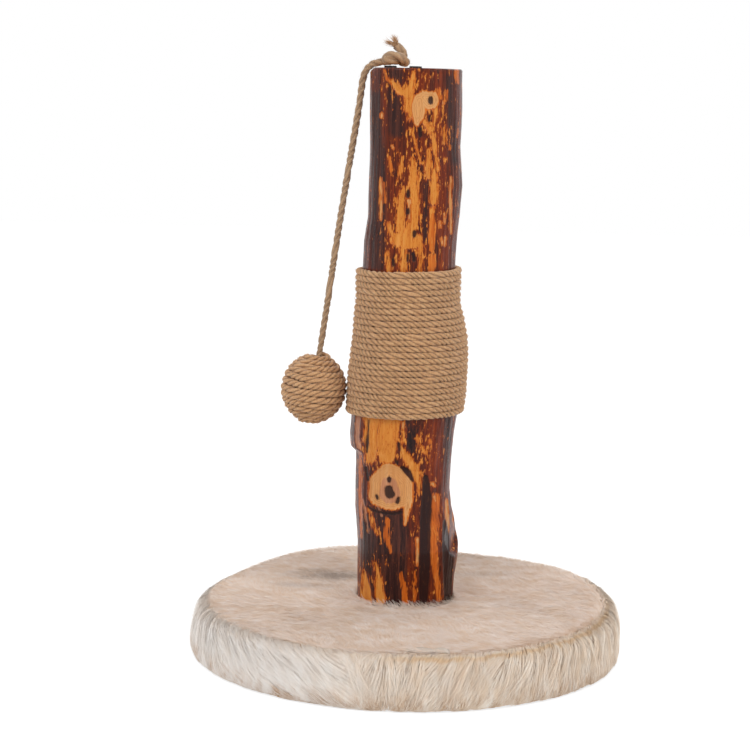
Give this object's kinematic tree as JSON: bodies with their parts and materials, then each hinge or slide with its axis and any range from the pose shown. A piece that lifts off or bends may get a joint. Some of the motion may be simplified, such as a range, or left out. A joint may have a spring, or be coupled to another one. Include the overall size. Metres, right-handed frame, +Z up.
{
  "type": "cat scratching post",
  "caption": "Natural log scratching post with a jute rope wrap, a round fur-covered base and a jute ball hanging on a cord.",
  "frame": {"origin": "middle of the round base's underside, where it stands on the floor", "axes": "+Z up along the log, -Y towards the pictured front, -X towards the side where the ball hangs"},
  "size_m": [0.426, 0.426, 0.6214],
  "materials": {
    "felt": "needle felt",
    "plywood": "raw sawn plywood",
    "zinc_screw": "bright zinc",
    "wadding": "white wadding",
    "faux_fur": "cream long-pile faux fur",
    "label_cloth": "woven tape, blank",
    "varnished_log": "glossy varnish over bark and wood",
    "jute_rope": "three-strand jute",
    "black_steel": "black coated steel",
    "plain_wood": "raw turned wood"
  },
  "bodies": {
    "stand": {"underside_felt": "felt", "base_board_lower": "plywood", "base_board_upper": "plywood", "board_screws": "zinc_screw", "hem_staples": "zinc_screw", "top_padding": "wadding", "fur_top_panel": "faux_fur", "fur_side_band": "faux_fur", "blank_label": "label_cloth", "log_post": "varnished_log", "post_screws": "zinc_screw", "rope_wrap": "jute_rope", "wrap_staples": "black_steel", "top_screws": "black_steel", "hanging_knot": "jute_rope", "cord_tail": "jute_rope"},
    "rim_cord": {"cord_over_rim": "jute_rope"},
    "cord": {"hanging_cord": "jute_rope", "ball_stop_knot": "jute_rope"},
    "ball": {"ball_core": "plain_wood", "ball_winding": "jute_rope"}
  },
  "joints": [
    {"name": "cord_swing_out", "type": "hinge", "parent": "stand", "child": "rim_cord", "pos_m": [-0.0485, 0.016, 0.589], "axis": [0, 1, 0], "range_deg": [0, 70], "deforming": ["cord_over_rim"]},
    {"name": "cord_swing_side", "type": "hinge", "parent": "rim_cord", "child": "cord", "pos_m": [-0.0567, 0.016, 0.558], "axis": [1, 0, 0], "range_deg": [-45, 45]},
    {"name": "ball_twist", "type": "hinge", "parent": "cord", "child": "ball", "pos_m": [-0.0982, 0.016, 0.2659], "axis": [0.144, 0, 0.9896], "range_deg": [-180, 180]}
  ]
}
